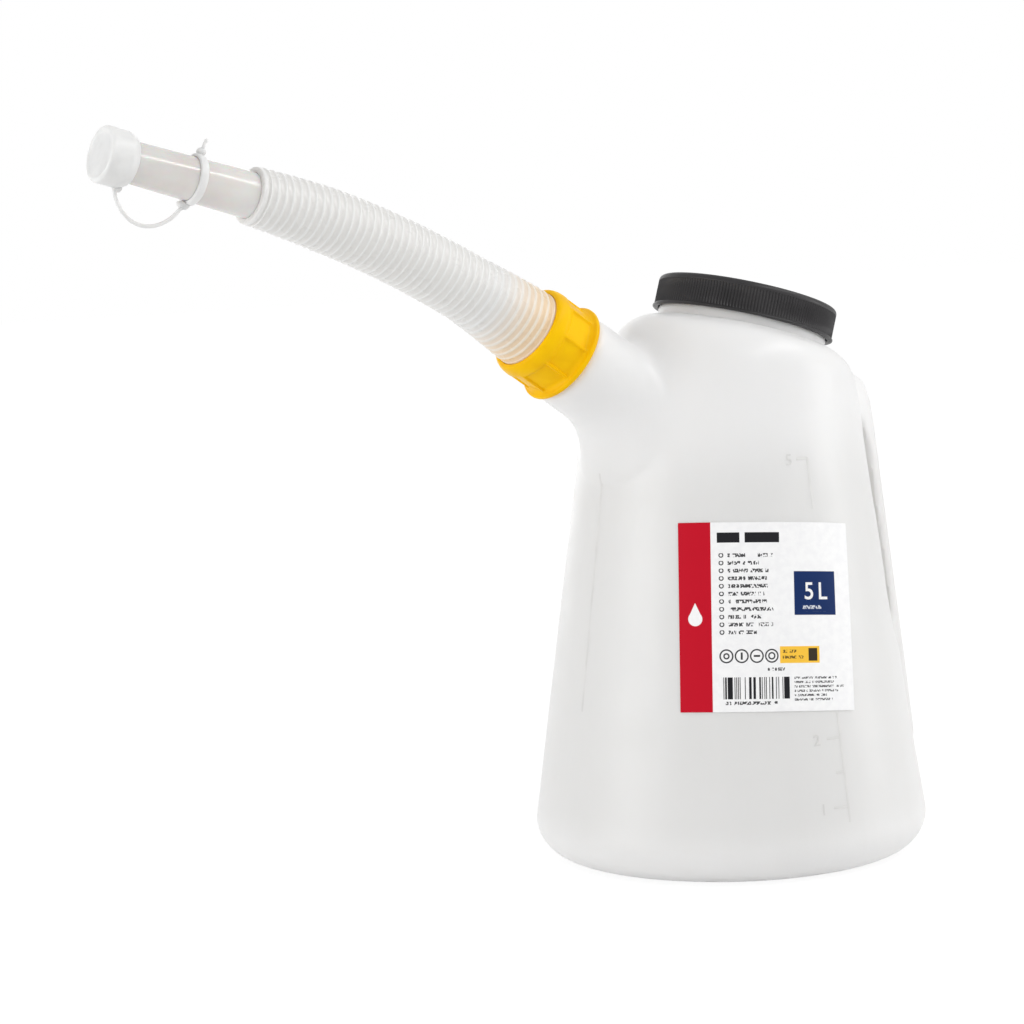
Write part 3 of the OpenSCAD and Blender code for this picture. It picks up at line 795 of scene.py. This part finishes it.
# %% Shader arithmetic
class Wire:
    """One socket of a node tree that can be used like a number."""

    def __init__(self, tree, socket):
        self.tree, self.socket = tree, socket

    def node(self, kind, inputs, output=0, **settings):
        """Adds a node, feeds its inputs, and gives back one of its outputs."""
        new = self.tree.nodes.new("ShaderNode" + kind)
        for name, value in settings.items():
            setattr(new, name, value)
        for key, value in inputs.items():
            if isinstance(value, Wire):
                self.tree.links.new(value.socket, new.inputs[key])
            else:
                new.inputs[key].default_value = value
        return Wire(self.tree, new.outputs[output])

    def maths(self, operation, first, second=0.0):
        return self.node("Math", {0: first, 1: second}, operation=operation)

    def __add__(self, other):
        return self.maths("ADD", self, other)

    def __sub__(self, other):
        return self.maths("SUBTRACT", self, other)

    def __rsub__(self, other):
        return self.maths("SUBTRACT", other, self)

    def __mul__(self, other):
        return self.maths("MULTIPLY", self, other)

    def __truediv__(self, other):
        return self.maths("DIVIDE", self, other)

    def __mod__(self, other):
        return self.maths("FLOORED_MODULO", self, other)

    def __gt__(self, other):
        return self.maths("GREATER_THAN", self, other)

    def __lt__(self, other):
        return self.maths("LESS_THAN", self, other)

    def __abs__(self):
        return self.maths("ABSOLUTE", self)

    __radd__, __rmul__ = __add__, __mul__

    def whole(self):
        return self.maths("FLOOR", self)

    def larger(self, other):
        return self.maths("MAXIMUM", self, other)

    def distance(self, other):
        return self.maths("SQRT", self * self + other * other)

    def eased(self, low, high, start=0.0, end=1.0):
        return self.node("MapRange", {"Value": self, "From Min": low, "From Max": high,
                                      "To Min": start, "To Max": end}, interpolation_type="SMOOTHSTEP")

    def within(self, low, high, edge=0.12):
        """1 between low and high and 0 outside, with a soft edge."""
        return self.eased(low - edge, low + edge) * self.eased(high - edge, high + edge, 1.0, 0.0)

    def blotches(self, scale, detail=2.0, rough=0.5):
        """Noise of about 0 to 1 at a scale in spots per metre, read from a vector wire."""
        return self.node("TexNoise", {"Vector": self, "Scale": scale, "Detail": detail, "Roughness": rough})

    def colours(self, low, high):
        """A colour that goes from low to high as this wire goes from 0 to 1."""
        return self.node("Mix", {0: self, 6: low, 7: high}, output=2, data_type="RGBA")


def rgb(red, green, blue):
    """A colour as a picture editor shows it, 0 to 255, in the linear numbers of a shader."""
    return tuple(c / 12.92 if c <= 0.04045 else ((c + 0.055) / 1.055) ** 2.4
                 for c in (red / 255, green / 255, blue / 255)) + (1.0,)


class Finish:
    """A material with its main shader, its coordinates, and the wires that drive it."""

    def __init__(self, name, **constants):
        self.material = bpy.data.materials.new(name)
        self.material.use_nodes = True
        self.tree = self.material.node_tree
        self.shader = self.tree.nodes["Principled BSDF"]
        places = self.tree.nodes.new("ShaderNodeTexCoord")
        self.place = Wire(self.tree, places.outputs["Object"])
        self.sheet = Wire(self.tree, places.outputs["UV"])
        self.set(**constants)

    def set(self, **values):
        for name, value in values.items():
            socket = self.shader.inputs[name.replace("_", " ")]
            if isinstance(value, Wire):
                self.tree.links.new(value.socket, socket)
            else:
                socket.default_value = value

    def axes(self, vector):
        return [vector.node("SeparateXYZ", {"Vector": vector}, output=i) for i in range(3)]

    def bump(self, height, metres, strength=1.0, under=None):
        """A bump of the given height in metres, on top of another bump if there is one."""
        inputs = {"Height": height, "Distance": metres, "Strength": strength}
        if under is not None:
            inputs["Normal"] = under
        return height.node("Bump", inputs)

    def on(self, *pieces):
        for piece in pieces:
            piece.data.materials.clear()
            piece.data.materials.append(self.material)


# %% [markdown]
# ### Milky polyethylene
# Blow-moulded polyethylene is not clear and not opaque: light goes a few millimetres into it, and
# the inside glows. Where the wall is thick, near the foot and at the shoulders, it looks white,
# and where it is thin it looks greyer. Subsurface scattering gives the glow, a slow noise gives the
# uneven wall, and a fine bump gives the skin of a mould that was sand-blasted.

# %% Jug plastic
jug_plastic = Finish("milky_jug_plastic", IOR=1.5, Subsurface_Weight=0.35, Subsurface_Radius=(1.0, 0.95, 0.9),
                     Subsurface_Scale=0.006, Specular_IOR_Level=0.45)
x, y, z = jug_plastic.axes(jug_plastic.place)
wall_noise = jug_plastic.place.blotches(9.0, 2.0)
streaks = jug_plastic.place.node("Mapping", {"Vector": jug_plastic.place, "Scale": (55.0, 55.0, 4.0)})
streaks = streaks.blotches(1.0, 3.0)
thick = z.eased(0.035, 0.0, 0.0, 0.7) + z.eased(0.185, 0.235, 0.0, 0.6) + wall_noise * 0.5 + streaks * 0.18
jug_plastic.set(Base_Color=thick.eased(0.05, 1.15).colours(rgb(230, 229, 227), rgb(246, 245, 244)))
grain = jug_plastic.place.blotches(900.0, 3.0)
scuffs = jug_plastic.place.blotches(60.0, 5.0, 0.65)
jug_plastic.set(Roughness=scuffs.eased(0.3, 0.75, 0.30, 0.42))
jug_plastic.set(Normal=jug_plastic.bump(grain, 0.00008, 0.35, jug_plastic.bump(streaks, 0.0009, 0.35)))
jug_plastic.on(body, lid_thread, spout_thread)

# %% [markdown]
# The raised marks are too thin for light to wander about in. With the glow of the body they would
# look like dark lines, so they get the same plastic without it, but painted a little darker than the
# body: painted shade that makes the low ridges show.

# %% Plastic of the raised marks
mark_plastic_painted_shade = Finish("raised_mark_painted_shade", IOR=1.5, Specular_IOR_Level=0.45)
cloud = mark_plastic_painted_shade.place.blotches(60.0, 3.0)
# Painted shade: the marks are coloured a few levels darker than the body plastic.
mark_plastic_painted_shade.set(Base_Color=cloud.eased(0.3, 0.7).colours(rgb(221, 220, 218), rgb(232, 231, 229)))
mark_plastic_painted_shade.set(Roughness=cloud.eased(0.3, 0.75, 0.30, 0.42))
mark_plastic_painted_shade.on(marks)

# %% [markdown]
# ### Lid and collar
# The lid is charcoal polypropylene with a satin skin. Handling polishes the crests of its ribs, so
# the roughness changes a little. The collar is a glossier yellow, slightly see-through at its edges.

# %% Lid plastic
lid_plastic = Finish("charcoal_lid_plastic", IOR=1.49, Specular_IOR_Level=0.5)
cloud = lid_plastic.place.blotches(45.0, 4.0)
lid_plastic.set(Base_Color=cloud.eased(0.3, 0.7).colours(rgb(29, 27, 29), rgb(43, 41, 43)))
lid_plastic.set(Roughness=cloud.eased(0.3, 0.7, 0.34, 0.5))
lid_plastic.set(Normal=lid_plastic.bump(lid_plastic.place.blotches(2200.0, 2.0), 0.00006, 0.5))
lid_plastic.on(lid)

# %% Collar plastic
collar_plastic = Finish("yellow_collar_plastic", IOR=1.49, Subsurface_Weight=0.06, Subsurface_Scale=0.002,
                        Subsurface_Radius=(1.0, 0.5, 0.05), Specular_IOR_Level=0.1)
cloud = collar_plastic.place.blotches(70.0, 4.0)
collar_plastic.set(Base_Color=cloud.eased(0.3, 0.7).colours(rgb(244, 186, 0), rgb(253, 200, 0)))
collar_plastic.set(Roughness=cloud.eased(0.3, 0.75, 0.3, 0.42))
collar_plastic.set(Normal=collar_plastic.bump(collar_plastic.place.blotches(1500.0, 2.0), 0.00005, 0.4))
collar_plastic.on(collar)

# %% [markdown]
# ### Hose
# The hose is thin polyethylene, so light passes through its walls. Its crests are painted whiter than
# the grooves, a painted highlight along each crest. The first rings by the collar get a painted yellow glow
# from the collar.

# %% Hose plastic
hose_plastic = Finish("clear_hose_plastic", IOR=1.5, Subsurface_Weight=0.3, Subsurface_Scale=0.004,
                      Subsurface_Radius=(1.0, 0.95, 0.9), Specular_IOR_Level=0.5)
run, wave_height, _ = hose_plastic.axes(hose_plastic.sheet)
# Painted light: a painted yellow glow of the collar on the first rings of the hose.
painted_collar_glow = run.eased(0.02, 0.2, 1.0, 0.0)
cloud = hose_plastic.place.blotches(60.0, 3.0)
groove_and_collar_glow = painted_collar_glow.colours(rgb(233, 231, 227), rgb(243, 209, 168))
# Painted highlight: the crest colour is lighter than the groove colour.
painted_crest_highlight = painted_collar_glow.colours(rgb(243, 242, 240), rgb(252, 236, 216))
# The mix is mostly the painted crest highlight, with a little random cloud.
crest_highlight_and_cloud = wave_height.eased(0.5, 1.0) * 0.85 + cloud * 0.15
hose_plastic.set(Base_Color=crest_highlight_and_cloud.colours(groove_and_collar_glow, painted_crest_highlight))
hose_plastic.set(Roughness=cloud.eased(0.3, 0.7, 0.22, 0.34))
hose_plastic.set(Normal=hose_plastic.bump(hose_plastic.place.blotches(700.0, 2.0), 0.0001, 0.3))
hose_plastic.on(hose)

# %% [markdown]
# ### Nozzle, cap and strap
# The nozzle's wall is thin and smooth, so it is greyer and glossier than the rest, and the back of
# the tube shows through. The cap and the strap are softer and whiter.

# %% Nozzle plastic
nozzle_plastic = Finish("clear_nozzle_plastic", IOR=1.5, Transmission_Weight=0.2, Subsurface_Weight=0.3,
                        Subsurface_Scale=0.003, Specular_IOR_Level=0.8)
cloud = nozzle_plastic.place.blotches(50.0, 3.0)
nozzle_plastic.set(Base_Color=cloud.eased(0.25, 0.75).colours(rgb(241, 232, 228), rgb(251, 244, 240)))
nozzle_plastic.set(Roughness=cloud.eased(0.3, 0.7, 0.16, 0.22))
nozzle_plastic.set(Normal=nozzle_plastic.bump(nozzle_plastic.place.blotches(220.0, 2.0), 0.0002, 0.2))
nozzle_plastic.on(nozzle)

# %% Cap and strap plastic
cap_plastic = Finish("white_cap_plastic", IOR=1.5, Subsurface_Weight=0.35, Subsurface_Scale=0.003,
                     Subsurface_Radius=(1.0, 0.95, 0.9), Specular_IOR_Level=0.45)
cloud = cap_plastic.place.blotches(90.0, 3.0)
cap_plastic.set(Base_Color=cloud.eased(0.3, 0.7).colours(rgb(226, 226, 225), rgb(237, 237, 236)))
cap_plastic.set(Roughness=cloud.eased(0.3, 0.7, 0.28, 0.4))
cap_plastic.set(Normal=cap_plastic.bump(cap_plastic.place.blotches(1200.0, 2.0), 0.00006, 0.4))
cap_plastic.on(cap, cap_lug, tether)

# %% [markdown]
# ### Liner and seal
# The foam liner in the lid and the rubber ring on the spout neck stay as the CAD made them. They
# are seen only when the lid or the collar is off, but they still need the right stuff.

# %% Foam and rubber
liner_foam = Finish("liner_foam", Roughness=0.8)
cells = liner_foam.place.blotches(1100.0, 4.0)
liner_foam.set(Base_Color=cells.eased(0.3, 0.7).colours(rgb(214, 211, 204), rgb(236, 234, 229)))
liner_foam.set(Normal=liner_foam.bump(cells, 0.0004, 0.6))
seal_rubber = Finish("seal_rubber", Specular_IOR_Level=0.4)
dust = seal_rubber.place.blotches(300.0, 4.0)
seal_rubber.set(Base_Color=dust.eased(0.35, 0.8).colours(rgb(34, 34, 35), rgb(58, 57, 56)))
seal_rubber.set(Roughness=dust.eased(0.3, 0.7, 0.45, 0.65))
for node, finish in (("lid_liner", liner_foam), ("spout_seal", seal_rubber)):
    finish.on(bpy.data.objects[node])

# %% [markdown]
# ### Printed label
# A label is easiest to draw as areas measured in millimetres from its top left corner. Every area
# is the product of two `within` masks. Rows of print are drawn as words without letters: a cell
# number feeds a noise, and the noise decides where a word ends.

# %% Label print
paper = Finish("label_film", IOR=1.46, Specular_IOR_Level=0.12)
u, v, _ = paper.axes(paper.sheet)


def area(left, right, top, bottom):
    return u.within(left, right) * v.within(top, bottom)


def print_rows(left, right, top, pitch, rows, height, letter):
    """Rows of word-like marks with a ragged right edge."""
    row = ((v - top) / pitch).whole()
    in_row = ((v - top) % pitch).within(0.0, height, 0.2)
    length = row.node("TexWhiteNoise", {"W": row + left}, noise_dimensions="1D")
    cell = ((u - left) / letter).whole()
    both = u.node("CombineXYZ", {0: cell, 1: row, 2: left})
    gap = both.node("TexWhiteNoise", {"Vector": both}, noise_dimensions="3D") > 0.16
    shapes = paper.sheet.node("Mapping", {"Vector": paper.sheet, "Location": (left, top, 0.0),
                                          "Scale": (1.5 / letter, 1.4 / height, 1.0)})
    stroke = shapes.blotches(1.0, 0.0).eased(0.4, 0.5)
    reach = (u - left) < (length * 0.45 + 0.55) * (right - left)
    inside = area(left, right, top, top + rows * pitch)
    return in_row * gap * stroke * reach * inside * 0.85


def ring_mark(x0, y0, r):
    return abs((u - x0).distance(v - y0) - r).eased(0.25, 0.5, 1.0, 0.0)


row_dots = (v - 15.2) % 3.8 - 1.0
bullets = abs((u - 21.2).distance(row_dots) - 0.95).eased(0.15, 0.4, 1.0, 0.0) * area(19.5, 23.5, 15, 56.9)
icons = ring_mark(23.2, 66.0, 3.1) + ring_mark(30.7, 66.0, 3.1) + ring_mark(38.2, 66.0, 3.1)
icons = icons + ring_mark(45.7, 66.0, 3.1) + ring_mark(23.2, 66.0, 1.2) + area(30.2, 31.2, 64.2, 67.8)
icons = icons + area(36.6, 39.8, 65.5, 66.5) + ring_mark(45.7, 66.0, 1.5)
bar = ((u - 21.5) / 0.42).whole()
bar = bar.node("TexWhiteNoise", {"W": bar}, noise_dimensions="1D") > 0.48
barcode = bar * area(21.5, 55.5, 76.4, 87.2)
title = area(19.3, 30.4, 5.0, 10.0) + area(33.0, 50.5, 5.0, 10.0)
small = (print_rows(24.4, 47.5, 15.3, 3.8, 11, 1.9, 1.25) + print_rows(57.2, 87.5, 76.4, 2.15, 6, 1.15, 0.8)
         + print_rows(43.5, 56.5, 71.8, 3.0, 1, 1.6, 1.1) + print_rows(22.5, 54.5, 88.3, 3.0, 1, 1.7, 1.4))
ink = (title * 1.15 + small + bullets + icons * 0.9 + barcode).eased(0.0, 1.0)
drop = (u - 8.1).distance(v - 47.5).eased(3.3, 3.7, 1.0, 0.0)
drop = drop.larger((abs(u - 8.1) - (v - 39.6) * 0.47).eased(-0.2, 0.2, 1.0, 0.0) * v.within(39.6, 46.4))
film = paper.sheet.blotches(0.25, 3.0).eased(0.3, 0.7).colours(rgb(246, 246, 247), rgb(252, 252, 252))
sheet = film
for mask, colour in (
        (area(-1, 16.2, -1, 96), rgb(198, 16, 40)), (drop, rgb(250, 250, 250)),
        (area(58.0, 82.3, 24.3, 46.0), rgb(24, 48, 98)), (area(49.9, 71.5, 61.4, 69.7), rgb(252, 200, 70)),
        (area(65.2, 70.2, 62.4, 68.7), rgb(60, 52, 40)),
        (print_rows(51.3, 64.0, 63.1, 2.9, 2, 1.5, 1.2), rgb(50, 45, 40)),
        (print_rows(62.5, 80.5, 41.2, 3.0, 1, 1.8, 1.2), rgb(225, 228, 235)), (ink, rgb(36, 36, 40))):
    sheet = mask.colours(sheet, colour)
paper.set(Base_Color=sheet, Roughness=paper.sheet.blotches(1.5, 3.0).eased(0.3, 0.7, 0.32, 0.45))
paper.set(Normal=paper.bump(paper.sheet.blotches(3.0, 2.0), 0.00003, 0.4))
paper.on(label)

# %% [markdown]
# The capacity stands in the blue square: a plain number and the sign for litres. It is real
# geometry, rolled onto the cone as the label is, so it stays sharp at any size.

# %% Capacity on the label
capacity = lettering("capacity_print", "5 L", 12.0, 0.01, bolder=0.12, word_gap=0.6)
set_points(capacity, np.array([rolled(70.2 + x, 34.6 - y, PRINT_LIFT + lift)
                               for x, y, lift in points_of(capacity)]))
white_ink = Finish("white_ink", Roughness=0.4)
speckle = white_ink.place.blotches(800.0).eased(0.3, 0.7)
white_ink.set(Base_Color=speckle.colours(rgb(240, 240, 240), rgb(250, 250, 250)))
white_ink.on(capacity)

# %% [markdown]
# ## Putting the pieces on the frame
# Most pieces ride on a body of the frame, so they move as the real part does. The hose and the
# strap keep the places they were built in and ride on no body.

# %% Ride and replace
for piece, carrier, slot_name, node in (
        (body, "jug", "body_plastic", "jug_body"), (lid_thread, "jug", "body_plastic", None),
        (spout_thread, "jug", "body_plastic", None), (marks, "jug", "body_plastic", None),
        (label, "jug", "label_film", "label"), (capacity, "jug", "label_film", None),
        (lid, "lid", "lid_plastic", "lid"), (collar, "collar", "collar_plastic", "collar_nut"),
        (nozzle, "nozzle", "nozzle_plastic", "nozzle"), (cap, "cap", "cap_plastic", "tip_cap"),
        (cap_lug, "cap", "cap_plastic", None)):
    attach(piece, carrier)
    if node:
        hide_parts(node)
tuple(hose_frame(25).translation)
tuple(hose_frame(143).translation)
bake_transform(hose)
tuple(nozzle_frame(33).translation)
tuple(nozzle_frame(63).translation)
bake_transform(tether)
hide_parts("hose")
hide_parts("cap_tether")

# %% [markdown]
# ## Studio
# The photograph was taken on white with large soft lamps. The floor and the world show as plain
# white to the camera and keep a little of their true shade, so the jug still casts a shadow.

# %% Floor and world
deselect()
bpy.ops.mesh.primitive_plane_add(size=14, location=(0, 0, -0.0005))
floor = bpy.context.object
floor.name = "studio_floor"
bpy.ops.object.transform_apply(location=True, rotation=True, scale=True)
floor_white = Finish("floor_white", Base_Color=(0.86, 0.86, 0.86, 1.0), Roughness=0.9)
rays = floor_white.place.node("LightPath", {})
seen = rays.larger(Wire(floor_white.tree, rays.socket.node.outputs["Is Glossy Ray"]))
glow = floor_white.tree.nodes.new("ShaderNodeEmission")
glow.inputs["Strength"].default_value = 1.1
blend = floor_white.tree.nodes.new("ShaderNodeMixShader")
floor_white.tree.links.new((seen * 0.82).socket, blend.inputs[0])
floor_white.tree.links.new(floor_white.shader.outputs[0], blend.inputs[1])
floor_white.tree.links.new(glow.outputs[0], blend.inputs[2])
floor_white.tree.links.new(blend.outputs[0], floor_white.tree.nodes["Material Output"].inputs[0])
floor_white.on(floor)

world = bpy.context.scene.world or bpy.data.worlds.new("studio_world")
bpy.context.scene.world = world
world.use_nodes = True
air = world.node_tree
dim = air.nodes["Background"]
dim.inputs["Color"].default_value = (1.0, 1.0, 1.0, 1.0)
WORLD_LEVEL = 0.71
sight = air.nodes.new("ShaderNodeLightPath")
camera_ray = Wire(air, sight.outputs["Is Camera Ray"])
open_view = camera_ray.larger(Wire(air, sight.outputs["Is Transmission Ray"]))
air.links.new(open_view.eased(0.0, 1.0, WORLD_LEVEL, 1.0).socket, dim.inputs["Strength"])

# %% [markdown]
# A large lamp on the right gives the bright side of the cone, and a second one lights the left
# edge, so the middle is the greyest. A weak one stands behind, and a long strip above the nozzle
# draws the white line that it shows.

# %% Lamps
def softbox(name, place, aim, size, power):
    deselect()
    bpy.ops.object.light_add(type="AREA", location=place)
    lamp = bpy.context.object
    lamp.name = name
    lamp.rotation_euler = (Vector(aim) - Vector(place)).to_track_quat("-Z", "Y").to_euler()
    lamp.data.shape = "RECTANGLE"
    lamp.data.size, lamp.data.size_y = size
    lamp.data.energy = power
    return lamp


softbox("key_lamp", (1.55, -1.0, 0.35), (0, 0, 0.15), (0.8, 1.2), 6.4)
softbox("fill_lamp", (-1.8, 0.2, 0.2), (-0.05, 0, 0.12), (1.0, 1.2), 11)
softbox("back_lamp", (0.5, 1.8, 0.5), (0, 0, 0.15), (1.6, 1.0), 4)
softbox("strip_lamp", (0.33, -0.76, 1.2), (-0.28, 0, 0.35), (1.7, 0.12), 5.5)

# %% [markdown]
# The camera's place and turn were found by matching points of the model with the same points in
# the photograph.

# %% Camera
HEADING, DIP, TILT = 0.579577, 0.108018, -0.037855
ahead = Vector((math.cos(DIP) * math.sin(HEADING), math.cos(DIP) * math.cos(HEADING), -math.sin(DIP)))
level = Vector((math.cos(HEADING), -math.sin(HEADING), 0))
above = level.cross(ahead)
right = math.cos(TILT) * level + math.sin(TILT) * above
upward = math.cos(TILT) * above - math.sin(TILT) * level
bpy.ops.object.camera_add(location=(0, 0, 0))
camera = bpy.context.object
camera.name = "photo_camera"
camera.matrix_world = (Matrix.Translation((-0.9385, -1.2355, 0.3476))
                       @ Matrix((right, upward, -ahead)).transposed().to_4x4())
camera.data.lens, camera.data.sensor_width = 105.47, 36.0
bpy.context.scene.camera = camera
bpy.context.scene.view_settings.view_transform = "Standard"
